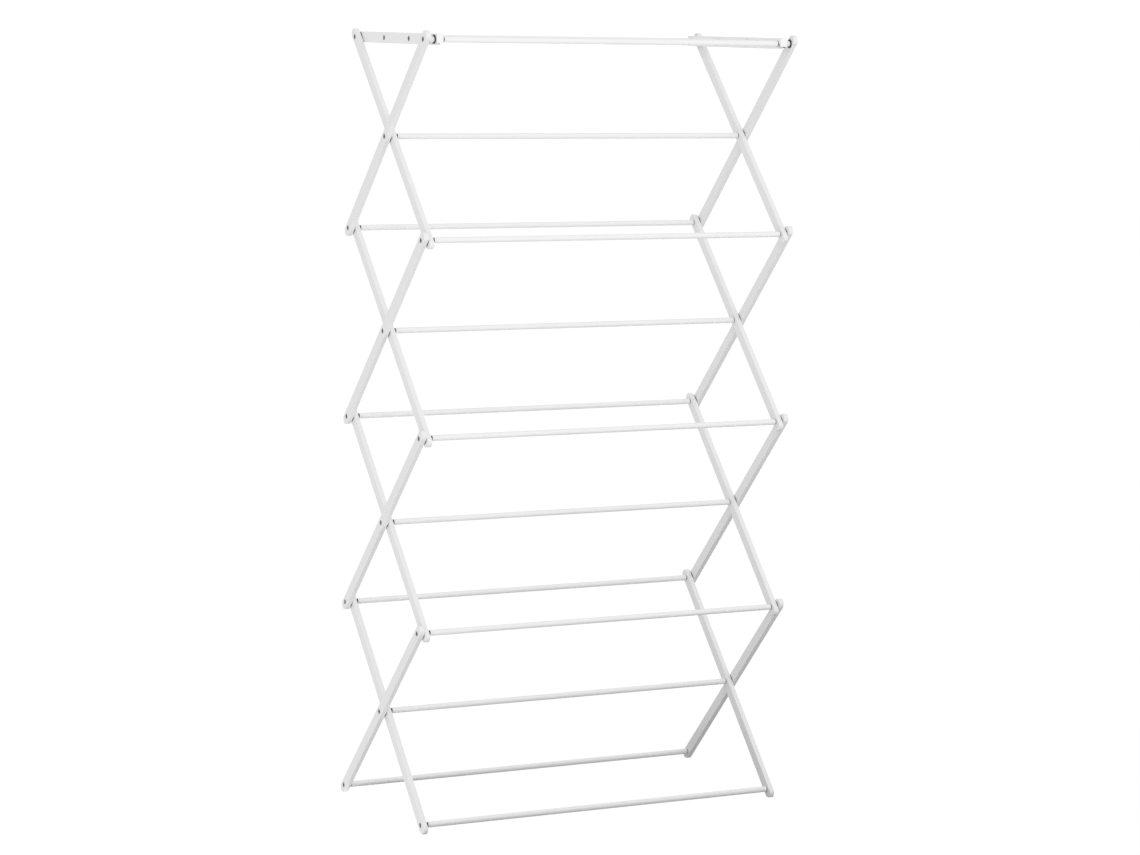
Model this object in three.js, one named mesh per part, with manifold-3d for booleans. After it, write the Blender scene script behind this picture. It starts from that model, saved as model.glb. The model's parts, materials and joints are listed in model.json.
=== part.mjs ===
// Folding clothes drying rack: two side frames of crossed flat bars, four levels high, joined by
// round tube rails, with a pair of lock arms across the top that hook over the front rail.
// Millimetres, +Z up, +Y to the rear, +X to the right. The origin is on the floor under the middle.
import * as THREE from "three";
import { mergeVertices } from "three/addons/utils/BufferGeometryUtils.js";
import Module from "manifold-3d";

const wasm = await Module();
wasm.setup();

// Driving dimensions
const WIDTH = 700; // over the outer bars
const LEVELS = 4;
const LEVEL_HEIGHT = 329; // between one joint and the next above it
const DEPTH = 315; // between the front and rear joints
const AXIS_ABOVE_FLOOR = 13.6; // lowest joints above the feet's flats
const BAR_WIDTH = 18;
const BAR_THICK = 9;
const BAR_END_BEYOND = 7.5; // from an end hole to the centre of the bar's round end
const PLANE_GAP = 1.2; // between neighbouring bars, filled by a washer
const WASHER_THICK = 0.6;
const WASHER_RADIUS = 6.5;
const ARM_HEIGHT = 18.5;
const ARM_THICK = 12.5;
const ARM_CORNER = 1.5;
const ARM_OVERHANG = 11; // past the front and rear joints
const RAIL_RADIUS = 5;
const RAIL_BORE = 4.2;
const NECK_RADIUS = 3; // rail ends turned down to pass through the bars
const NECK_BORE = 2;
const NECK_GROOVE = 1.4; // neck left bare between a rail's shoulder and the bar
const FLARE_RADIUS = 4.2; // neck's end rolled over like a rivet
const FLARE_THICK = 1;
const RECESS_RADIUS = 4.8;
const RECESS_DEPTH = 1.6;
const HOLE_RADIUS = 3.4;
const CLEAR = 0.3; // between pieces that bear on each other
const MOUTH_SLOPE = 45; // degrees: the arm's hook opens downward and forward

const ROUND_SIDES = 10;
const BAR_END_SIDES = 6;
const TURN = Math.PI * 2;

// Places worked out from them. Distances across the rack are measured outward from its middle.
const outerFace = WIDTH / 2;
const outerInside = outerFace - BAR_THICK;
const innerFace = outerInside - PLANE_GAP;
const innerInside = innerFace - BAR_THICK;
const armFace = innerInside - PLANE_GAP;
const armInside = armFace - ARM_THICK;
const joint = {
  front: (level) => [-DEPTH / 2, AXIS_ABOVE_FLOOR + level * LEVEL_HEIGHT],
  rear: (level) => [DEPTH / 2, AXIS_ABOVE_FLOOR + level * LEVEL_HEIGHT],
  centre: (level) => [0, AXIS_ABOVE_FLOOR + (level - 0.5) * LEVEL_HEIGHT],
};
const armSixth = DEPTH / 6; // the two extra top rails stand this far either side of the middle

const finish = {
  bar: new THREE.MeshStandardMaterial({ color: 0xf1f1f2, roughness: 0.3, metalness: 0 }),
  arm: new THREE.MeshStandardMaterial({ color: 0xf2f2f3, roughness: 0.3, metalness: 0 }),
  rail: new THREE.MeshStandardMaterial({ color: 0xf0f0ee, roughness: 0.4, metalness: 0 }),
  washer: new THREE.MeshStandardMaterial({ color: 0x8c8c8c, roughness: 0.6, metalness: 0 }),
};

const rack = new THREE.Group();
const sides = [
  { name: "left", sign: -1 },
  { name: "right", sign: 1 },
];

function addMesh(name, geometry, material) {
  const mesh = new THREE.Mesh(geometry, material);
  mesh.name = name;
  rack.add(mesh);
}

function solidOf(geometry) {
  const bare = geometry.clone();
  bare.deleteAttribute("normal");
  bare.deleteAttribute("uv");
  const merged = mergeVertices(bare, 1e-4);
  return new wasm.Manifold(
    new wasm.Mesh({
      numProp: 3,
      vertProperties: merged.attributes.position.array,
      triVerts: new Uint32Array(merged.index.array),
    }),
  );
}

function geometryOf(solid) {
  const mesh = solid.getMesh();
  const geometry = new THREE.BufferGeometry();
  geometry.setAttribute("position", new THREE.BufferAttribute(mesh.vertProperties, 3));
  geometry.setIndex(new THREE.BufferAttribute(mesh.triVerts, 1));
  return geometry;
}

// An outline in the side view (depth, height) made into a plate between two distances from the
// middle. The outline's own right is the rack's rear.
function plate(shape, from, to, curveSegments) {
  const geometry = new THREE.ExtrudeGeometry(shape, {
    depth: Math.abs(to - from),
    bevelEnabled: false,
    curveSegments,
  });
  const toSideView = new THREE.Matrix4().makeBasis(
    new THREE.Vector3(0, 1, 0),
    new THREE.Vector3(0, 0, 1),
    new THREE.Vector3(1, 0, 0),
  );
  geometry.applyMatrix4(toSideView);
  geometry.translate(Math.min(from, to), 0, 0);
  return geometry;
}

// A disc or pin across the rack, centred on a joint, between two distances from the middle.
function crossPin([depth, height], radius, from, to) {
  const geometry = new THREE.CylinderGeometry(radius, radius, Math.abs(to - from), ROUND_SIDES);
  geometry.rotateZ(Math.PI / 2);
  geometry.translate((from + to) / 2, depth, height);
  return solidOf(geometry);
}

// A round-ended flat bar between two joints, with a hole at each end and one at its middle, and a
// shallow recess on its outer face at the holes that take a rail's rolled end.
function bar({ lower, upper, sign, face, inside, recesses, standing }) {
  const run = [upper[0] - lower[0], upper[1] - lower[1]];
  const slope = Math.atan2(run[1], run[0]);
  const radius = BAR_WIDTH / 2;
  const beyond = [BAR_END_BEYOND * Math.cos(slope), BAR_END_BEYOND * Math.sin(slope)];
  const top = [upper[0] + beyond[0], upper[1] + beyond[1]];
  const bottom = [lower[0] - beyond[0], lower[1] - beyond[1]];
  const shape = new THREE.Shape();
  shape.absarc(top[0], top[1], radius, slope - Math.PI / 2, slope + Math.PI / 2, false);
  shape.absarc(bottom[0], bottom[1], radius, slope + Math.PI / 2, slope + Math.PI * 1.5, false);
  let solid = solidOf(plate(shape, sign * inside, sign * face, BAR_END_SIDES));
  const middle = [(lower[0] + upper[0]) / 2, (lower[1] + upper[1]) / 2];
  for (const place of [lower, middle, upper]) {
    solid = solid.subtract(crossPin(place, HOLE_RADIUS, sign * (inside - 1), sign * (face + 1)));
  }
  const places = { lower, middle, upper };
  for (const name of recesses) {
    const floor = sign * (face - RECESS_DEPTH);
    solid = solid.subtract(crossPin(places[name], RECESS_RADIUS, floor, sign * (face + 1)));
  }
  if (standing) {
    const below = new THREE.BoxGeometry(WIDTH * 2, BAR_WIDTH * 3, BAR_WIDTH);
    below.translate(0, lower[0], -BAR_WIDTH / 2);
    solid = solid.subtract(solidOf(below));
  }
  return geometryOf(solid);
}

// A round tube rail. Its body ends in a shoulder next to the innermost bar that it meets, and its
// necks go on through that bar and are rolled over in the recess of the outermost one. A collar is
// a stretch of full diameter part of the way along the neck.
function rail([depth, height], shoulder, end, collars = []) {
  const half = [
    [RAIL_RADIUS, shoulder - NECK_GROOVE],
    [NECK_RADIUS, shoulder - NECK_GROOVE],
    ...collars.flatMap(([from, to]) => [
      [NECK_RADIUS, from],
      [RAIL_RADIUS, from],
      [RAIL_RADIUS, to],
      [NECK_RADIUS, to],
    ]),
    [NECK_RADIUS, end - FLARE_THICK],
    [FLARE_RADIUS, end - FLARE_THICK],
    [FLARE_RADIUS, end],
    [NECK_BORE, end],
    [NECK_BORE, shoulder - NECK_GROOVE - RAIL_RADIUS],
    [RAIL_BORE, shoulder - NECK_GROOVE - RAIL_RADIUS],
  ];
  const mirrored = half.map(([radius, along]) => [radius, -along]).reverse();
  const ring = [...half, ...mirrored, half[0]];
  const profile = ring.map(([radius, along]) => new THREE.Vector2(radius, along));
  const geometry = new THREE.LatheGeometry(profile, ROUND_SIDES);
  geometry.rotateZ(-Math.PI / 2);
  geometry.translate(0, depth, height);
  return geometryOf(solidOf(geometry));
}

function washer([depth, height], sign, from) {
  const to = from + WASHER_THICK;
  const disc = crossPin([depth, height], WASHER_RADIUS, sign * from, sign * to);
  const hole = crossPin([depth, height], HOLE_RADIUS, sign * (from - 1), sign * (to + 1));
  return geometryOf(disc.subtract(hole));
}

// A lock arm: a straight flat bar across the top, hinged on the rear rail, with holes for the two
// extra rails, and a hook at the front whose mouth opens downward and forward.
function lockArm(sign) {
  const [front, height] = joint.front(LEVELS);
  const rear = joint.rear(LEVELS)[0];
  const low = height - ARM_HEIGHT / 2;
  const high = height + ARM_HEIGHT / 2;
  const start = front - ARM_OVERHANG;
  const stop = rear + ARM_OVERHANG;
  const shape = new THREE.Shape();
  shape.moveTo(start + ARM_CORNER, low);
  shape.lineTo(stop - ARM_CORNER, low);
  shape.absarc(stop - ARM_CORNER, low + ARM_CORNER, ARM_CORNER, -TURN / 4, 0, false);
  shape.absarc(stop - ARM_CORNER, high - ARM_CORNER, ARM_CORNER, 0, TURN / 4, false);
  shape.absarc(start + ARM_CORNER, high - ARM_CORNER, ARM_CORNER, TURN / 4, TURN / 2, false);
  shape.absarc(start + ARM_CORNER, low + ARM_CORNER, ARM_CORNER, TURN / 2, TURN * 0.75, false);
  const reach = ARM_HEIGHT;
  let solid = solidOf(plate(shape, sign * armInside, sign * armFace, 2));

  const slope = THREE.MathUtils.degToRad(MOUTH_SLOPE);
  const mouth = new THREE.Shape();
  mouth.absarc(front, height, HOLE_RADIUS, 0, Math.PI / 2 + slope, false);
  mouth.lineTo(
    front - HOLE_RADIUS * Math.sin(slope) - reach * Math.cos(slope),
    height + HOLE_RADIUS * Math.cos(slope) - reach * Math.sin(slope),
  );
  mouth.lineTo(front + HOLE_RADIUS, height - reach);
  const cutter = plate(mouth, sign * (armInside - 1), sign * (armFace + 1), BAR_END_SIDES);
  solid = solid.subtract(solidOf(cutter));

  for (const place of [[-armSixth, height], [armSixth, height], [rear, height]]) {
    const through = crossPin(place, HOLE_RADIUS, sign * (armInside - 1), sign * (armFace + 1));
    solid = solid.subtract(through);
  }
  for (const place of [[-armSixth, height], [armSixth, height]]) {
    const floor = sign * (armFace - RECESS_DEPTH);
    solid = solid.subtract(crossPin(place, RECESS_RADIUS, floor, sign * (armFace + 1)));
  }
  return geometryOf(solid);
}

// The crossed bars. An inner bar leans back from the front joint below it; an outer bar leans
// forward from the rear joint below it.
for (const side of sides) {
  for (let level = 1; level <= LEVELS; level += 1) {
    const lowest = level === 1;
    addMesh(
      `${side.name}_inner_bar_${level}`,
      bar({
        lower: joint.front(level - 1),
        upper: joint.rear(level),
        sign: side.sign,
        face: innerFace,
        inside: innerInside,
        recesses: [...(lowest ? ["lower"] : []), ...(level === LEVELS ? ["upper"] : [])],
        standing: lowest,
      }),
      finish.bar,
    );
    addMesh(
      `${side.name}_outer_bar_${level}`,
      bar({
        lower: joint.rear(level - 1),
        upper: joint.front(level),
        sign: side.sign,
        face: outerFace,
        inside: outerInside,
        recesses: ["lower", "middle", "upper"],
        standing: lowest,
      }),
      finish.bar,
    );
  }
}

// The rails. A rail ends CLEAR short of the face that it is rolled over in. The arms' hooks hold
// the top front rail by its neck, and a collar fills the space between each hook and the bar.
const rolledIn = (face) => face - CLEAR;
const hookCollar = [armFace + CLEAR, outerInside - CLEAR];
for (let level = 0; level <= LEVELS; level += 1) {
  const top = level === LEVELS;
  const bottom = level === 0;
  addMesh(
    `front_rail_${level}`,
    rail(
      joint.front(level),
      top ? armInside : innerInside,
      rolledIn(bottom ? innerFace : outerFace),
      top ? [hookCollar] : [],
    ),
    finish.rail,
  );
  addMesh(
    `rear_rail_${level}`,
    rail(
      joint.rear(level),
      top ? armInside : bottom ? outerInside : innerInside,
      rolledIn(top ? innerFace : outerFace),
    ),
    finish.rail,
  );
}
for (let level = 1; level <= LEVELS; level += 1) {
  const name = `centre_rail_${level}`;
  addMesh(name, rail(joint.centre(level), innerInside, rolledIn(outerFace)), finish.rail);
}
const topHeight = joint.rear(LEVELS)[1];
addMesh("top_rail_front", rail([-armSixth, topHeight], armInside, rolledIn(armFace)), finish.rail);
addMesh("top_rail_rear", rail([armSixth, topHeight], armInside, rolledIn(armFace)), finish.rail);

// The washers between the two bars at each joint, and between bar and arm at the arm's hinge.
for (const side of sides) {
  for (let level = 1; level <= LEVELS; level += 1) {
    const name = `${side.name}_washer_centre_${level}`;
    addMesh(name, washer(joint.centre(level), side.sign, innerFace + CLEAR), finish.washer);
  }
  for (let level = 1; level < LEVELS; level += 1) {
    for (const place of ["front", "rear"]) {
      const name = `${side.name}_washer_${place}_${level}`;
      addMesh(name, washer(joint[place](level), side.sign, innerFace + CLEAR), finish.washer);
    }
  }
  const hinge = washer(joint.rear(LEVELS), side.sign, armFace + CLEAR);
  addMesh(`${side.name}_washer_arm`, hinge, finish.washer);
  addMesh(`${side.name}_lock_arm`, lockArm(side.sign), finish.arm);
}

export default rack;
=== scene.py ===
import json
import math

import bmesh
import bpy
from mathutils import Matrix, Vector


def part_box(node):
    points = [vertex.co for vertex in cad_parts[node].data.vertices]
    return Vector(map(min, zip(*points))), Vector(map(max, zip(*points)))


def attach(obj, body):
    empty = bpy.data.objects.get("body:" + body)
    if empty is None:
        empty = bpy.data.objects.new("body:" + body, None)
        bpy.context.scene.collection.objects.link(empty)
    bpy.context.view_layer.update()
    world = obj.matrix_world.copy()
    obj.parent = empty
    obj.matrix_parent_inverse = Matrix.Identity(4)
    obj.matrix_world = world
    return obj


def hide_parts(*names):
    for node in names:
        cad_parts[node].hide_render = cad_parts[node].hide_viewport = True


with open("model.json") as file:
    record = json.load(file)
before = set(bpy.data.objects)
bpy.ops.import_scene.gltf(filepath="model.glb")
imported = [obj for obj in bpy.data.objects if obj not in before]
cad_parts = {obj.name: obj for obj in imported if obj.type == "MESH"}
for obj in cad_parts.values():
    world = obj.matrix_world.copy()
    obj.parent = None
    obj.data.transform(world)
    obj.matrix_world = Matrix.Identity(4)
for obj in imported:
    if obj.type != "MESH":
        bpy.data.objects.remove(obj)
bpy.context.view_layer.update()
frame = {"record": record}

# The viewpoint: a long lens a little above the rack's middle, to the left of its front, held very
# slightly off level.
VIEW_AZIMUTH = math.radians(-26.40)
VIEW_ELEVATION = math.radians(7.33)
VIEW_ROLL = math.radians(0.94)
VIEW_DISTANCE = 5.614
VIEW_TARGET = Vector((0.0081, 0.0, 0.6560))
LENS = 101.2

camera_data = bpy.data.cameras.new("camera")
camera_data.lens = LENS
camera_data.sensor_width = 36.0
camera = bpy.data.objects.new("camera", camera_data)
bpy.context.scene.collection.objects.link(camera)
away = Vector((
    math.sin(VIEW_AZIMUTH) * math.cos(VIEW_ELEVATION),
    -math.cos(VIEW_AZIMUTH) * math.cos(VIEW_ELEVATION),
    math.sin(VIEW_ELEVATION),
))
camera.location = VIEW_TARGET + away * VIEW_DISTANCE
aim = (-away).to_track_quat("-Z", "Y").to_matrix().to_4x4()
camera.matrix_world = (
    Matrix.Translation(camera.location) @ aim @ Matrix.Rotation(VIEW_ROLL, 4, "Z")
)
bpy.context.scene.camera = camera

# The studio: a pale seamless floor in a white surround that is a little brighter in front and
# below, with a soft lamp in front to the left, and a grey card on the floor before the rack that
# keeps light off its lower undersides.
SURROUND_LEVEL = 0.965
SURROUND_LEAN = (0.08, -0.14, -0.08)
BACKDROP = 1.05
SHEET_ROUGHNESS = 0.9
FLOOR_SIZE = 60.0
FLOOR_COLOUR = 0.03
FLOOR_GLOW = 1.0
CARD_LOW = Vector((-0.34, -0.95))
CARD_HIGH = Vector((1.30, 0.35))
CARD_GLOW = 0.32
KEY_SIZE = 0.8
KEY_POWER = 16.0
KEY_PLACE = Vector((-1.6, -4.2, 2.6))


def wire(tree, source, target):
    tree.links.new(source, target)


world = bpy.data.worlds.new("studio")
bpy.context.scene.world = world
world.use_nodes = True
# The surround is nearly even, so it needs no rays aimed at it, and leaves less grain without them.
world.cycles.sampling_method = "NONE"
sky = world.node_tree
sky.nodes.clear()
direction = sky.nodes.new("ShaderNodeTexCoord")
lean = sky.nodes.new("ShaderNodeVectorMath")
lean.operation = "DOT_PRODUCT"
lean.inputs[1].default_value = SURROUND_LEAN
brightness = sky.nodes.new("ShaderNodeMath")
brightness.operation = "ADD"
brightness.inputs[1].default_value = SURROUND_LEVEL
path = sky.nodes.new("ShaderNodeLightPath")
seen = sky.nodes.new("ShaderNodeMapRange")
seen.inputs["To Max"].default_value = BACKDROP
surround = sky.nodes.new("ShaderNodeBackground")
surround.inputs["Color"].default_value = (1.0, 1.0, 1.0, 1.0)
sky_out = sky.nodes.new("ShaderNodeOutputWorld")
wire(sky, direction.outputs["Generated"], lean.inputs[0])
wire(sky, lean.outputs["Value"], brightness.inputs[0])
wire(sky, path.outputs["Is Camera Ray"], seen.inputs["Value"])
wire(sky, brightness.outputs["Value"], seen.inputs["To Min"])
wire(sky, seen.outputs["Result"], surround.inputs["Strength"])
wire(sky, surround.outputs["Background"], sky_out.inputs["Surface"])
bpy.context.scene.view_settings.view_transform = "Standard"


def level_sheet(name, low, high, colour, glow):
    """A flat sheet on the floor between two corners, matt and slightly glowing."""
    mesh = bpy.data.meshes.new(name)
    corners = [(low.x, low.y, 0), (high.x, low.y, 0), (high.x, high.y, 0), (low.x, high.y, 0)]
    mesh.from_pydata(corners, [], [(0, 1, 2, 3)])
    sheet = bpy.data.objects.new(name, mesh)
    bpy.context.scene.collection.objects.link(sheet)
    finish = bpy.data.materials.new(name)
    finish.use_nodes = True
    shader = finish.node_tree.nodes["Principled BSDF"]
    shader.inputs["Base Color"].default_value = (colour, colour, colour, 1.0)
    shader.inputs["Roughness"].default_value = SHEET_ROUGHNESS
    shader.inputs["Specular IOR Level"].default_value = 0.0
    shader.inputs["Emission Color"].default_value = (1.0, 1.0, 1.0, 1.0)
    shader.inputs["Emission Strength"].default_value = glow
    finish.cycles.emission_sampling = "NONE"
    mesh.materials.append(finish)
    return sheet


half_floor = Vector((FLOOR_SIZE / 2, FLOOR_SIZE / 2))
floor = level_sheet("studio_floor", -half_floor, half_floor, FLOOR_COLOUR, FLOOR_GLOW)
floor.visible_diffuse = False
floor.visible_glossy = False
card = level_sheet("grey_card", CARD_LOW, CARD_HIGH, 0.0, CARD_GLOW)
card.visible_camera = False
card.visible_shadow = False

key_data = bpy.data.lights.new("key_lamp", "AREA")
key_data.size = KEY_SIZE
key_data.energy = KEY_POWER
key = bpy.data.objects.new("key_lamp", key_data)
bpy.context.scene.collection.objects.link(key)
key.location = KEY_PLACE
towards = (VIEW_TARGET - KEY_PLACE).to_track_quat("-Z", "Y").to_matrix().to_4x4()
key.matrix_world = Matrix.Translation(KEY_PLACE) @ towards

# The side frames' flat bars: glossy white mouldings with round ends and softened edges. Each has
# three holes, and a shallow seat round a hole where a rail's end is rolled over. The two bars
# that cross at each level lie in neighbouring planes.
MM = 0.001
SIDES = {"left": -1, "right": 1}
LEVELS = 4
BAR_WIDTH = 18 * MM
BAR_EDGE_ROUND = 1.1 * MM
BAR_EDGE_STEPS = 4
BAR_END_STEPS = 14
BORE_RADIUS = 3.3 * MM
SEAT_RADIUS = 4.4 * MM
SEAT_DEPTH = 1.6 * MM
BORE_FACETS = 40
CUT_PAST = 1 * MM
WELD = 1e-6
SOFT_OVER = math.radians(40)
SHARP_OVER = math.radians(35)
FLAT_WEIGHT = 90


def joint_at(rail):
    """The side view place (depth, height) of the joint that a rail passes through."""
    low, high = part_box(rail)
    return Vector(((low.y + high.y) / 2, (low.z + high.z) / 2))


def new_tree(name, sizes):
    """A geometry tree with a Geometry input and output and one named input for each size."""
    tree = bpy.data.node_groups.new(name, "GeometryNodeTree")
    tree.interface.new_socket(name="Geometry", in_out="INPUT", socket_type="NodeSocketGeometry")
    for label, kind in sizes.items():
        tree.interface.new_socket(name=label, in_out="INPUT", socket_type="NodeSocket" + kind)
    tree.interface.new_socket(name="Geometry", in_out="OUTPUT", socket_type="NodeSocketGeometry")
    return tree, tree.nodes.new("NodeGroupInput"), tree.nodes.new("NodeGroupOutput")


def add_node(tree, kind, settings=None, **feeds):
    """A node with its properties set and its inputs fed from sockets or constants."""
    made = tree.nodes.new(kind)
    for name, value in (settings or {}).items():
        setattr(made, name, value)
    for label, feed in feeds.items():
        target = made.inputs[label.replace("_", " ")]
        if isinstance(feed, bpy.types.NodeSocket):
            tree.links.new(feed, target)
        else:
            target.default_value = feed
    return made


def maths(tree, operation, first, second):
    made = add_node(tree, "ShaderNodeMath", {"operation": operation})
    for target, feed in zip(made.inputs, (first, second)):
        if isinstance(feed, bpy.types.NodeSocket):
            tree.links.new(feed, target)
        else:
            target.default_value = feed
    return made.outputs[0]


def add_modifier_tree(piece, tree, values):
    """Puts a geometry tree on a piece, with its named inputs set."""
    modifier = piece.modifiers.new(tree.name, "NODES")
    modifier.node_group = tree
    for socket in tree.interface.items_tree:
        if socket.item_type == "SOCKET" and socket.in_out == "INPUT" and socket.name in values:
            modifier[socket.identifier] = values[socket.name]


def settled(piece, name):
    """The piece with its modifiers worked out, as a plain mesh on a new object."""
    graph = bpy.context.evaluated_depsgraph_get()
    mesh = bpy.data.meshes.new_from_object(piece.evaluated_get(graph))
    bpy.data.objects.remove(piece)
    mesh.name = name
    made = bpy.data.objects.new(name, mesh)
    bpy.context.scene.collection.objects.link(made)
    return made


def blank(name):
    """An empty mesh object for a geometry tree to fill."""
    made = bpy.data.objects.new(name, bpy.data.meshes.new(name))
    bpy.context.scene.collection.objects.link(made)
    return made


def smooth(piece):
    """Shades a piece smooth except over its sharp edges, with its flat faces kept flat."""
    piece.data.shade_smooth()
    piece.data.set_sharp_from_angle(angle=SHARP_OVER)
    even = piece.modifiers.new("flat_faces", "WEIGHTED_NORMAL")
    even.keep_sharp = True
    even.weight = FLAT_WEIGHT


def soften_edges(piece, width, steps):
    """Rounds a moulding's edges."""
    softened = piece.modifiers.new("softened_edges", "BEVEL")
    softened.width = width
    softened.segments = steps
    softened.limit_method = "ANGLE"
    softened.angle_limit = SOFT_OVER


def draw_loop(outline, places):
    """Draws a closed loop of edges through places, and gives its corners."""
    corners = [outline.verts.new(place) for place in places]
    for here, after in zip(corners, corners[1:] + corners[:1]):
        outline.edges.new((here, after))
    return corners


def closed_plate(tree, outline, thickness):
    """A filled outline given a thickness, as a closed plate that stands on its outline."""
    flat = add_node(tree, "GeometryNodeFillCurve", {"mode": "NGONS"}, Curve=outline)
    top = add_node(
        tree, "GeometryNodeExtrudeMesh", Mesh=flat.outputs["Mesh"],
        Offset_Scale=thickness, Individual=False,
    )
    base = add_node(tree, "GeometryNodeFlipFaces", Mesh=flat.outputs["Mesh"])
    both = tree.nodes.new("GeometryNodeJoinGeometry")
    wire(tree, top.outputs["Mesh"], both.inputs["Geometry"])
    wire(tree, base.outputs["Mesh"], both.inputs["Geometry"])
    merged = add_node(
        tree, "GeometryNodeMergeByDistance", Geometry=both.outputs["Geometry"], Distance=WELD
    )
    return merged.outputs["Geometry"]


plate_tree, given, out = new_tree(
    "moulded_plate",
    {"Length": "Float", "Width": "Float", "Thickness": "Float", "Corner": "Float", "Steps": "Int"},
)
oblong = add_node(
    plate_tree, "GeometryNodeCurvePrimitiveQuadrilateral",
    Width=given.outputs["Length"], Height=given.outputs["Width"],
)
rounded = add_node(
    plate_tree, "GeometryNodeFilletCurve", {"mode": "POLY"}, Curve=oblong.outputs["Curve"],
    Radius=given.outputs["Corner"], Count=given.outputs["Steps"], Limit_Radius=True,
)
plate = closed_plate(plate_tree, rounded.outputs["Curve"], given.outputs["Thickness"])
wire(plate_tree, plate, out.inputs["Geometry"])


def row_of_pins(tree, start, spacing, count, radius, low, high):
    """Upright pins in a row along X, from one height to another, to be cut from a plate."""
    first = add_node(tree, "ShaderNodeCombineXYZ", X=start)
    step = add_node(tree, "ShaderNodeCombineXYZ", X=spacing)
    points = add_node(
        tree, "GeometryNodeMeshLine", Count=count,
        Start_Location=first.outputs[0], Offset=step.outputs[0],
    )
    pin = add_node(
        tree, "GeometryNodeMeshCylinder", Vertices=BORE_FACETS, Radius=radius,
        Depth=maths(tree, "SUBTRACT", high, low),
    )
    middle = maths(tree, "MULTIPLY", maths(tree, "ADD", high, low), 0.5)
    raised = add_node(tree, "ShaderNodeCombineXYZ", Z=middle)
    placed = add_node(
        tree, "GeometryNodeTransform", Geometry=pin.outputs["Mesh"],
        Translation=raised.outputs[0],
    )
    row = add_node(
        tree, "GeometryNodeInstanceOnPoints", Points=points.outputs["Mesh"],
        Instance=placed.outputs["Geometry"],
    )
    real = add_node(tree, "GeometryNodeRealizeInstances", Geometry=row.outputs["Instances"])
    return real.outputs["Geometry"]


bored_tree, given, out = new_tree(
    "bored_plate",
    {
        "Thickness": "Float", "First hole": "Float", "Spacing": "Float", "Holes": "Int",
        "Bore": "Float", "First seat": "Float", "Seats": "Int", "Seat": "Float",
        "Seat depth": "Float", "Finish": "Material",
    },
)
over = maths(bored_tree, "ADD", given.outputs["Thickness"], CUT_PAST)
floor_of_seat = maths(bored_tree, "SUBTRACT", given.outputs["Thickness"], given.outputs["Seat depth"])
bores = row_of_pins(
    bored_tree, given.outputs["First hole"], given.outputs["Spacing"], given.outputs["Holes"],
    given.outputs["Bore"], -CUT_PAST, over,
)
seats = row_of_pins(
    bored_tree, given.outputs["First seat"], given.outputs["Spacing"], given.outputs["Seats"],
    given.outputs["Seat"], floor_of_seat, over,
)
solid = given.outputs["Geometry"]
for cutter in (bores, seats):
    cut = bored_tree.nodes.new("GeometryNodeMeshBoolean")
    cut.operation = "DIFFERENCE"
    cut.solver = "EXACT"
    wire(bored_tree, solid, cut.inputs["Mesh 1"])
    wire(bored_tree, cutter, cut.inputs["Mesh 2"])
    solid = cut.outputs["Mesh"]
real = add_node(bored_tree, "GeometryNodeRealizeInstances", Geometry=solid)
finished = add_node(
    bored_tree, "GeometryNodeSetMaterial", Geometry=real.outputs["Geometry"],
    Material=given.outputs["Finish"],
)
wire(bored_tree, finished.outputs["Geometry"], out.inputs["Geometry"])


MOULD_INDEX = 1.49
MOULD_TINT = (0.985, 1.015)
MOULD_SHEEN = (-0.02, 0.03)
MOULD_GRAIN = 900.0
MOULD_BUMP = 0.04
MOULD_BUMP_HEIGHT = 0.03 * MM


def moulded_white(name, colour, roughness):
    """Glossy white plastic: a faint moulding grain in the gloss, and a very slight waviness."""
    material = bpy.data.materials.new(name)
    material.use_nodes = True
    tree = material.node_tree
    shader = tree.nodes["Principled BSDF"]
    shader.inputs["IOR"].default_value = MOULD_INDEX
    place = tree.nodes.new("ShaderNodeTexCoord")
    tint = add_node(tree, "ShaderNodeTexNoise", Scale=9.0, Detail=3.0)
    wire(tree, place.outputs["Object"], tint.inputs["Vector"])
    shade = tree.nodes.new("ShaderNodeMapRange")
    shade.data_type = "FLOAT_VECTOR"
    shade.inputs[9].default_value = tuple(c * MOULD_TINT[0] for c in colour)
    shade.inputs[10].default_value = tuple(min(1.0, c * MOULD_TINT[1]) for c in colour)
    wire(tree, tint.outputs["Fac"], shade.inputs[6])
    wire(tree, shade.outputs[1], shader.inputs["Base Color"])
    gloss = add_node(tree, "ShaderNodeTexNoise", Scale=60.0, Detail=4.0)
    wire(tree, place.outputs["Object"], gloss.inputs["Vector"])
    sheen = tree.nodes.new("ShaderNodeMapRange")
    sheen.inputs["To Min"].default_value = roughness + MOULD_SHEEN[0]
    sheen.inputs["To Max"].default_value = roughness + MOULD_SHEEN[1]
    wire(tree, gloss.outputs["Fac"], sheen.inputs["Value"])
    wire(tree, sheen.outputs["Result"], shader.inputs["Roughness"])
    fine = add_node(tree, "ShaderNodeTexNoise", Scale=MOULD_GRAIN, Detail=2.0)
    wire(tree, place.outputs["Object"], fine.inputs["Vector"])
    bump = add_node(tree, "ShaderNodeBump", Strength=MOULD_BUMP, Distance=MOULD_BUMP_HEIGHT)
    wire(tree, fine.outputs["Fac"], bump.inputs["Height"])
    wire(tree, bump.outputs["Normal"], shader.inputs["Normal"])
    return material


bar_white = moulded_white("bar_white", (0.80, 0.80, 0.81), 0.24)


def upright(side, along):
    """Turns a plate that lies flat with its length on X so that it stands in a side frame with
    its length along the given slope and its top face outward."""
    outward = Vector((SIDES[side], 0, 0))
    length = Vector((0, along.x, along.y)).normalized()
    across = outward.cross(length)
    return Matrix((length, across, outward)).transposed().to_4x4()


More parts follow.
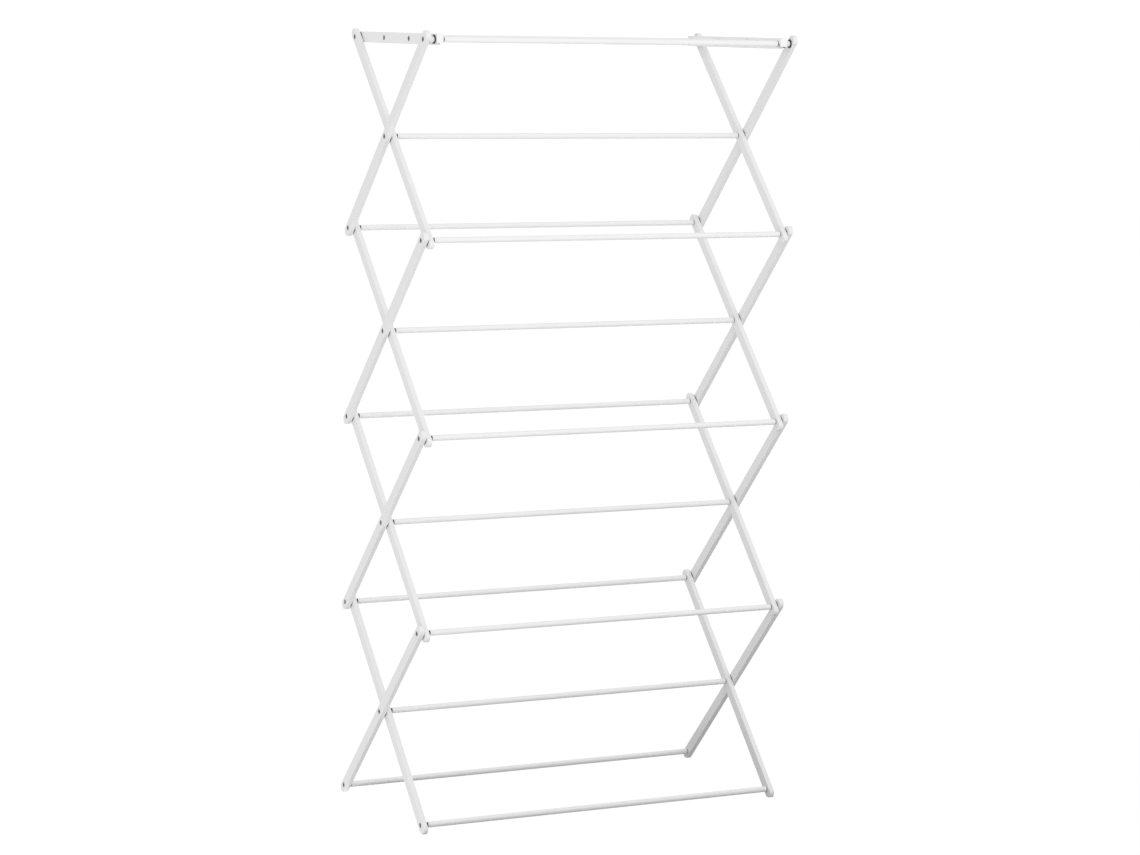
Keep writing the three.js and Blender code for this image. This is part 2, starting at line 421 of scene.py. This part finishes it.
for side in SIDES:
    for level in range(1, LEVELS + 1):
        front_low, rear_low = (joint_at(f"{end}_rail_{level - 1}") for end in ("front", "rear"))
        front_high, rear_high = (joint_at(f"{end}_rail_{level}") for end in ("front", "rear"))
        for kind, lower, upper in (
            ("inner", front_low, rear_high),
            ("outer", rear_low, front_high),
        ):
            node = f"{side}_{kind}_bar_{level}"
            low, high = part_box(node)
            thickness = high.x - low.x
            span = (upper - lower).length
            across = abs(upper.x - lower.x)
            beyond = ((high.y - low.y) - across - BAR_WIDTH) * span / across
            if kind == "outer":
                first_seat, seat_count = -span / 2, 3
            else:
                first_seat = span / 2 if level == LEVELS else -span / 2
                seat_count = 1 if level in (1, LEVELS) else 0
            blankbar = blank(node + "_blank")
            add_modifier_tree(blankbar, plate_tree, {
                "Length": span + beyond + BAR_WIDTH, "Width": BAR_WIDTH,
                "Thickness": thickness, "Corner": BAR_WIDTH / 2, "Steps": BAR_END_STEPS,
            })
            soften_edges(blankbar, BAR_EDGE_ROUND, BAR_EDGE_STEPS)
            add_modifier_tree(blankbar, bored_tree, {
                "Thickness": thickness, "First hole": -span / 2, "Spacing": span / 2,
                "Holes": 3, "Bore": BORE_RADIUS, "First seat": first_seat,
                "Seats": seat_count, "Seat": SEAT_RADIUS, "Seat depth": SEAT_DEPTH,
                "Finish": bar_white,
            })
            piece = settled(blankbar, f"bar_{side}_{kind}_{level}")
            inside = min(abs(low.x), abs(high.x)) * SIDES[side]
            middle = (lower + upper) / 2
            stand = upright(side, upper - lower)
            stand.translation = Vector((inside, middle.x, middle.y))
            piece.data.transform(stand)
            if level == 1:
                solid_mesh = bmesh.new()
                solid_mesh.from_mesh(piece.data)
                cut = bmesh.ops.bisect_plane(
                    solid_mesh, geom=solid_mesh.verts[:] + solid_mesh.edges[:] + solid_mesh.faces[:],
                    plane_co=(0, 0, 0), plane_no=(0, 0, -1), clear_outer=True,
                )
                rim = [e for e in cut["geom_cut"] if isinstance(e, bmesh.types.BMEdge)]
                bmesh.ops.holes_fill(solid_mesh, edges=rim)
                solid_mesh.to_mesh(piece.data)
                solid_mesh.free()
            smooth(piece)
            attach(piece, f"{kind}_bars_{level}")
            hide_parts(node)

# The rails: thin round steel tubes across the rack, powder coated satin white, with the coat
# rounded over their shoulders. They sit slightly to the right, up against the right frame.
RAIL_RADIUS = 5 * MM
RAIL_BORE = 3.1 * MM
SHOULDER_ROUND = 0.9 * MM
SHOULDER_STEPS = 4
# The wider gap on the left shows the necks' near-black step, as a painted shadow that the left bars
# cast on the rails.
RAIL_GAPS = {"left": 4.4 * MM, "right": 0.9 * MM}
COLLAR_GAP = 0.9 * MM
TURNED_FACETS = 32
SPINDLE = 1 * MM


def reach_of(node):
    """How far a node's inner and outer sides are from the rack's middle."""
    low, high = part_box(node)
    return sorted((abs(low.x), abs(high.x)))


def body_with(node):
    groups = frame["record"]["behaviour"]["bodies"]
    return next(body for body, nodes in groups.items() if node in nodes)


turned_tree, given, out = new_tree("turned", {"Facets": "Int", "Finish": "Material"})
profile = add_node(turned_tree, "GeometryNodeMeshToCurve", Mesh=given.outputs["Geometry"])
spindle = add_node(
    turned_tree, "GeometryNodeCurvePrimitiveCircle",
    Resolution=given.outputs["Facets"], Radius=SPINDLE,
)
level_spindle = add_node(
    turned_tree, "GeometryNodeSetCurveNormal", {"mode": "Z_UP"}, Curve=spindle.outputs["Curve"]
)
spun = add_node(
    turned_tree, "GeometryNodeCurveToMesh",
    Curve=level_spindle.outputs["Curve"], Profile_Curve=profile.outputs["Curve"],
)
laid = add_node(
    turned_tree, "GeometryNodeTransform", Geometry=spun.outputs["Mesh"],
    Rotation=(0, -math.pi / 2, 0),
)
real = add_node(turned_tree, "GeometryNodeRealizeInstances", Geometry=laid.outputs["Geometry"])
finished = add_node(
    turned_tree, "GeometryNodeSetMaterial", Geometry=real.outputs["Geometry"],
    Material=given.outputs["Finish"],
)
wire(turned_tree, finished.outputs["Geometry"], out.inputs["Geometry"])


def turned(name, loops, place, finish, marks=()):
    """Closed loops of (distance along, radius) turned about an axis across the rack at a place
    (depth, height). Each loop runs to the right on its outside and back on its inside. The
    corners in marks, given as (distance from the middle, radius), are marked as rolled."""
    outline = bmesh.new()
    mark = outline.verts.layers.float.new("rolled")
    for loop in loops:
        corners = draw_loop(outline, [(radius - SPINDLE, along, 0) for along, radius in loop])
        for corner, (along, radius) in zip(corners, loop):
            corner[mark] = 1.0 if (abs(along), radius) in marks else 0.0
    piece = blank(name + "_profile")
    outline.to_mesh(piece.data)
    outline.free()
    add_modifier_tree(piece, turned_tree, {"Facets": TURNED_FACETS, "Finish": finish})
    piece = settled(piece, name)
    piece.data.transform(Matrix.Translation((0, place.x, place.y)))
    return piece


def rounded_tube(left, right):
    """The loop of a tube whose two shoulders are rounded."""
    angles = [math.pi / 2 * step / SHOULDER_STEPS for step in range(SHOULDER_STEPS + 1)]
    round_centre = RAIL_RADIUS - SHOULDER_ROUND
    curve = [
        (SHOULDER_ROUND * (1 - math.sin(a)), round_centre + SHOULDER_ROUND * math.cos(a))
        for a in angles
    ]
    return (
        [(left, RAIL_BORE)]
        + [(left + inset, radius) for inset, radius in reversed(curve)]
        + [(right - inset, radius) for inset, radius in curve]
        + [(right, RAIL_BORE)]
    )


SATIN_INDEX = 1.5
SATIN_TINT = (0.98, 1.015)
SATIN_SHEEN = (-0.05, 0.08)
DIMPLES = 650.0
DIMPLE_BUMP = 0.2
DIMPLE_DEPTH = 0.05 * MM


def dimpled_satin(name, colour, roughness):
    """An even satin skin with fine, soft dimples, as of powder coat or of matt plastic."""
    material = bpy.data.materials.new(name)
    material.use_nodes = True
    tree = material.node_tree
    shader = tree.nodes["Principled BSDF"]
    shader.inputs["IOR"].default_value = SATIN_INDEX
    place = tree.nodes.new("ShaderNodeTexCoord")
    tint = add_node(tree, "ShaderNodeTexNoise", Scale=14.0, Detail=3.0)
    wire(tree, place.outputs["Object"], tint.inputs["Vector"])
    shade = tree.nodes.new("ShaderNodeMapRange")
    shade.data_type = "FLOAT_VECTOR"
    shade.inputs[9].default_value = tuple(c * SATIN_TINT[0] for c in colour)
    shade.inputs[10].default_value = tuple(min(1.0, c * SATIN_TINT[1]) for c in colour)
    wire(tree, tint.outputs["Fac"], shade.inputs[6])
    wire(tree, shade.outputs[1], shader.inputs["Base Color"])
    gloss = add_node(tree, "ShaderNodeTexNoise", Scale=120.0, Detail=3.0)
    wire(tree, place.outputs["Object"], gloss.inputs["Vector"])
    sheen = tree.nodes.new("ShaderNodeMapRange")
    sheen.inputs["To Min"].default_value = roughness + SATIN_SHEEN[0]
    sheen.inputs["To Max"].default_value = roughness + SATIN_SHEEN[1]
    wire(tree, gloss.outputs["Fac"], sheen.inputs["Value"])
    wire(tree, sheen.outputs["Result"], shader.inputs["Roughness"])
    dimples = add_node(tree, "ShaderNodeTexNoise", Scale=DIMPLES, Detail=1.0)
    wire(tree, place.outputs["Object"], dimples.inputs["Vector"])
    bump = add_node(tree, "ShaderNodeBump", Strength=DIMPLE_BUMP, Distance=DIMPLE_DEPTH)
    wire(tree, dimples.outputs["Fac"], bump.inputs["Height"])
    wire(tree, bump.outputs["Normal"], shader.inputs["Normal"])
    return material


rail_white = dimpled_satin("rail_white", (0.83, 0.83, 0.83), 0.30)

# For each rail, the piece that its shoulders stop at, and the one that its ends are rolled over in.
rails = {}
for level in range(LEVELS + 1):
    top, bottom = level == LEVELS, level == 0
    rails[f"front_rail_{level}"] = (
        "lock_arm" if top else "inner_bar_1", "inner_bar_1" if bottom else "outer_bar_1"
    )
    rails[f"rear_rail_{level}"] = (
        "lock_arm" if top else "outer_bar_1" if bottom else "inner_bar_1",
        "inner_bar_1" if top else "outer_bar_1",
    )
for level in range(1, LEVELS + 1):
    rails[f"centre_rail_{level}"] = ("inner_bar_1", "outer_bar_1")
rails["top_rail_front"] = rails["top_rail_rear"] = ("lock_arm", "lock_arm")

# The collar beside each hook, from near the arm's outer face to near the outer bar.
collar_start = reach_of("left_lock_arm")[1] + COLLAR_GAP
collar_end = reach_of("left_outer_bar_1")[0] - COLLAR_GAP

for node, (meets, _) in rails.items():
    shoulder = reach_of(f"left_{meets}")[0]
    loops = [rounded_tube(RAIL_GAPS["left"] - shoulder, shoulder - RAIL_GAPS["right"])]
    if node == f"front_rail_{LEVELS}":
        loops += [
            rounded_tube(collar_start, collar_end),
            rounded_tube(-collar_end, -collar_start),
        ]
    piece = turned(f"tube_{node}", loops, joint_at(node), rail_white)
    smooth(piece)
    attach(piece, body_with(node))
    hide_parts(node)

# The rail ends: bare steel necks that pass through the bars as the joints' pins, each with a stepped
# collar before the bar and its mouth rolled over, like a tubular rivet, in the bar's seat. The
# steel's near-black base is painted shade, which darkens each seat as a shadowed recess would look.
NECK_RADIUS = 3 * MM
NECK_BORE = 1.6 * MM
STEP_RADIUS = 4.2 * MM
HOOK_WASHER_RADIUS = 7.5 * MM
NECK_ROOT = 8 * MM
HAIR = 0.1 * MM
ROLL = [  # (height over the seat's floor, radius) of the rolled mouth, from its rim inward
    (0.60 * MM, 4.20 * MM), (0.95 * MM, 4.20 * MM), (1.05 * MM, 3.70 * MM),
    (1.25 * MM, 3.20 * MM), (1.42 * MM, 2.80 * MM), (1.45 * MM, 2.40 * MM),
    (1.30 * MM, 2.00 * MM), (0.90 * MM, 1.70 * MM),
]
ROLL_CROWN = slice(3, 7)


def neck(side, shoulder, step_end, seat_floor):
    """The loop of one neck, from inside the tube to its rolled mouth."""
    loop = [
        (shoulder - NECK_ROOT, NECK_BORE),
        (shoulder - NECK_ROOT, NECK_RADIUS),
        (shoulder + HAIR, NECK_RADIUS),
        (shoulder + HAIR, STEP_RADIUS),
        (step_end, STEP_RADIUS),
        (step_end, NECK_RADIUS),
        (seat_floor + ROLL[0][0], NECK_RADIUS),
        *((seat_floor + height, radius) for height, radius in ROLL),
    ]
    if side == "left":
        return [(-along, radius) for along, radius in reversed(loop)]
    return loop


def washer_loop(left, right):
    """The loop of a flat washer round a neck."""
    return [
        (left, RAIL_BORE), (left, HOOK_WASHER_RADIUS),
        (right, HOOK_WASHER_RADIUS), (right, RAIL_BORE),
    ]


DULL_ROUGHNESS = 0.5
RUBBED_ROUGHNESS = 0.32
FULLY_RUBBED = 0.6


def bare_steel(name, dark, bright):
    """Bare steel, dull, on a dark base that here is painted shade, and rubbed brighter where it was
    rolled over.
    """
    material = bpy.data.materials.new(name)
    material.use_nodes = True
    tree = material.node_tree
    shader = tree.nodes["Principled BSDF"]
    shader.inputs["Metallic"].default_value = 1.0
    worn = add_node(tree, "ShaderNodeAttribute", {"attribute_name": "rolled"})
    place = tree.nodes.new("ShaderNodeTexCoord")
    patches = add_node(tree, "ShaderNodeTexNoise", Scale=500.0, Detail=3.0)
    wire(tree, place.outputs["Object"], patches.inputs["Vector"])
    rubbed = maths(tree, "MULTIPLY", worn.outputs["Fac"], patches.outputs["Fac"])
    shade = tree.nodes.new("ShaderNodeMapRange")
    shade.data_type = "FLOAT_VECTOR"
    shade.inputs[8].default_value = (FULLY_RUBBED, FULLY_RUBBED, FULLY_RUBBED)
    shade.inputs[9].default_value = dark
    shade.inputs[10].default_value = bright
    wire(tree, rubbed, shade.inputs[6])
    wire(tree, shade.outputs[1], shader.inputs["Base Color"])
    dull = tree.nodes.new("ShaderNodeMapRange")
    dull.inputs["To Min"].default_value = DULL_ROUGHNESS
    dull.inputs["To Max"].default_value = RUBBED_ROUGHNESS
    wire(tree, rubbed, dull.inputs["Value"])
    wire(tree, dull.outputs["Result"], shader.inputs["Roughness"])
    return material


# The near-black base is painted shade for the shadowed seats and gaps round the necks.
neck_steel_painted_shade = bare_steel("neck_steel_painted_shade", (0.07, 0.07, 0.072), (0.34, 0.34, 0.33))

for node, (meets, rolled_in) in rails.items():
    bar_side = reach_of(f"left_{meets}")[0]
    seat_floor = reach_of(f"left_{rolled_in}")[1] - SEAT_DEPTH
    crown = {(seat_floor + height, radius) for height, radius in ROLL[ROLL_CROWN]}
    loops = [
        neck(side, bar_side - RAIL_GAPS[side], bar_side - 2 * HAIR, seat_floor) for side in SIDES
    ]
    if node == f"front_rail_{LEVELS}":
        # Beside each hook, the white collar runs between two washers of the near-black steel, whose
        # darkness is painted shade in the gap by the arm.
        for near, far in (
            (collar_start - COLLAR_GAP + HAIR, collar_start - HAIR),
            (collar_end + HAIR, collar_end + COLLAR_GAP - HAIR),
        ):
            loops += [washer_loop(near, far), washer_loop(-far, -near)]
    piece = turned(f"necks_{node}", loops, joint_at(node), neck_steel_painted_shade, crown)
    smooth(piece)
    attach(piece, body_with(node))
    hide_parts(node)

# The lock arms: straight, deeper mouldings across the top, hinged on the rear rail. Each carries
# an end of the two extra rails, and its hook drops over the neck of the front rail.
ARM_CORNER = 1.5 * MM
ARM_CORNER_STEPS = 3
ARM_EDGE_ROUND = 0.9 * MM
ARM_EDGE_STEPS = 3
HOOK_RADIUS = 3.4 * MM
HOOK_SLOPE = math.radians(45)
HOOK_STEPS = 12

cut_tree, given, out = new_tree("cut_plate", {"Thickness": "Float"})
edge = add_node(cut_tree, "GeometryNodeMeshToCurve", Mesh=given.outputs["Geometry"])
plate = closed_plate(cut_tree, edge.outputs["Curve"], given.outputs["Thickness"])
wire(cut_tree, plate, out.inputs["Geometry"])

arm_white = moulded_white("arm_white", (0.84, 0.84, 0.845), 0.22)


def arc(centre_along, centre_up, radius, start, stop, steps):
    """Points on an arc, its angles measured from the rear."""
    angles = [start + (stop - start) * step / steps for step in range(steps + 1)]
    return [
        (centre_along + radius * math.cos(a), centre_up + radius * math.sin(a)) for a in angles
    ]


for side, sign in SIDES.items():
    node = f"{side}_lock_arm"
    low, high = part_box(node)
    front = joint_at(f"front_rail_{LEVELS}").x
    extra = joint_at("top_rail_rear").x
    height = joint_at(f"rear_rail_{LEVELS}").y
    half = (high.z - low.z) / 2
    inset = half - ARM_CORNER
    lip = front + HOOK_RADIUS * math.cos(math.pi / 2 + HOOK_SLOPE)
    lip_up = HOOK_RADIUS * math.sin(math.pi / 2 + HOOK_SLOPE)
    lip_drop = (lip - low.y) * math.tan(HOOK_SLOPE)
    right_angle = math.pi / 2
    outline_points = [
        (front + HOOK_RADIUS, -half),
        *arc(high.y - ARM_CORNER, -inset, ARM_CORNER, -right_angle, 0, ARM_CORNER_STEPS),
        *arc(high.y - ARM_CORNER, inset, ARM_CORNER, 0, right_angle, ARM_CORNER_STEPS),
        *arc(low.y + ARM_CORNER, inset, ARM_CORNER, right_angle, math.pi, ARM_CORNER_STEPS),
        (low.y, lip_up - lip_drop),
        *arc(front, 0, HOOK_RADIUS, right_angle + HOOK_SLOPE, 0, HOOK_STEPS),
    ]
    # On the left the plate is stood the other way up, so its outline is drawn upside down.
    outline = bmesh.new()
    draw_loop(outline, [(along, sign * up, 0) for along, up in outline_points])
    blankarm = blank(node + "_blank")
    outline.to_mesh(blankarm.data)
    outline.free()
    add_modifier_tree(blankarm, cut_tree, {"Thickness": high.x - low.x})
    soften_edges(blankarm, ARM_EDGE_ROUND, ARM_EDGE_STEPS)
    add_modifier_tree(blankarm, bored_tree, {
        "Thickness": high.x - low.x, "First hole": -extra, "Spacing": 2 * extra, "Holes": 2,
        "Bore": BORE_RADIUS, "First seat": -extra, "Seats": 2, "Seat": SEAT_RADIUS,
        "Seat depth": SEAT_DEPTH, "Finish": arm_white,
    })
    piece = settled(blankarm, f"arm_{side}")
    stand = upright(side, Vector((1, 0)))
    stand.translation = Vector((reach_of(node)[0] * sign, 0, height))
    piece.data.transform(stand)
    smooth(piece)
    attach(piece, "lock_frame")
    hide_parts(node)

# The washers: thin rings in the gap between the two bars, or bar and arm, that turn on a neck, so
# that the painted faces don't rub. Their near-black colour, and their width of almost a bar's, are
# painted shade in the crevice between the bars.
WASHER_RADIUS = 8.8 * MM
WASHER_GAP = 0.1 * MM
WASHER_RIM_ROUND = 0.15 * MM
WASHER_RIM_STEPS = 2
WASHER_FACETS = 40

ring_tree, given, out = new_tree(
    "rings_on_points",
    {"Radius": "Float", "Bore": "Float", "Thickness": "Float", "Finish": "Material"},
)
across = maths(ring_tree, "SUBTRACT", given.outputs["Radius"], given.outputs["Bore"])
mean = maths(ring_tree, "MULTIPLY", maths(
    ring_tree, "ADD", given.outputs["Radius"], given.outputs["Bore"]
), 0.5)
section = add_node(
    ring_tree, "GeometryNodeCurvePrimitiveQuadrilateral", Width=across,
    Height=given.outputs["Thickness"],
)
softened = add_node(
    ring_tree, "GeometryNodeFilletCurve", {"mode": "POLY"}, Curve=section.outputs["Curve"],
    Radius=WASHER_RIM_ROUND, Count=WASHER_RIM_STEPS,
)
hoop = add_node(
    ring_tree, "GeometryNodeCurvePrimitiveCircle", Resolution=WASHER_FACETS, Radius=mean
)
level_hoop = add_node(
    ring_tree, "GeometryNodeSetCurveNormal", {"mode": "Z_UP"}, Curve=hoop.outputs["Curve"]
)
ring = add_node(
    ring_tree, "GeometryNodeCurveToMesh",
    Curve=level_hoop.outputs["Curve"], Profile_Curve=softened.outputs["Curve"],
)
turned_up = add_node(
    ring_tree, "GeometryNodeTransform", Geometry=ring.outputs["Mesh"],
    Rotation=(0, math.pi / 2, 0),
)
placed = add_node(
    ring_tree, "GeometryNodeInstanceOnPoints",
    Points=given.outputs["Geometry"], Instance=turned_up.outputs["Geometry"],
)
real = add_node(ring_tree, "GeometryNodeRealizeInstances", Geometry=placed.outputs["Instances"])
finished = add_node(
    ring_tree, "GeometryNodeSetMaterial", Geometry=real.outputs["Geometry"],
    Material=given.outputs["Finish"],
)
wire(ring_tree, finished.outputs["Geometry"], out.inputs["Geometry"])

# Near black as painted shade in the crevice between the bars, not as the washers' own colour.
washer_painted_shade = dimpled_satin("washer_painted_shade", (0.03, 0.03, 0.03), 0.5)
between_bars = reach_of("left_outer_bar_1")[0] - reach_of("left_inner_bar_1")[1]

for body, nodes in frame["record"]["behaviour"]["bodies"].items():
    washers = [node for node in nodes if "_washer_" in node]
    if not washers:
        continue
    centres = [sum(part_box(node), Vector()) / 2 for node in washers]
    points = blank(f"washer_places_{body}")
    points.data.from_pydata(centres, [], [])
    add_modifier_tree(points, ring_tree, {
        "Radius": WASHER_RADIUS, "Bore": BORE_RADIUS, "Thickness": between_bars - 2 * WASHER_GAP,
        "Finish": washer_painted_shade,
    })
    piece = settled(points, f"washers_{body}")
    smooth(piece)
    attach(piece, body)
    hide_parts(*washers)
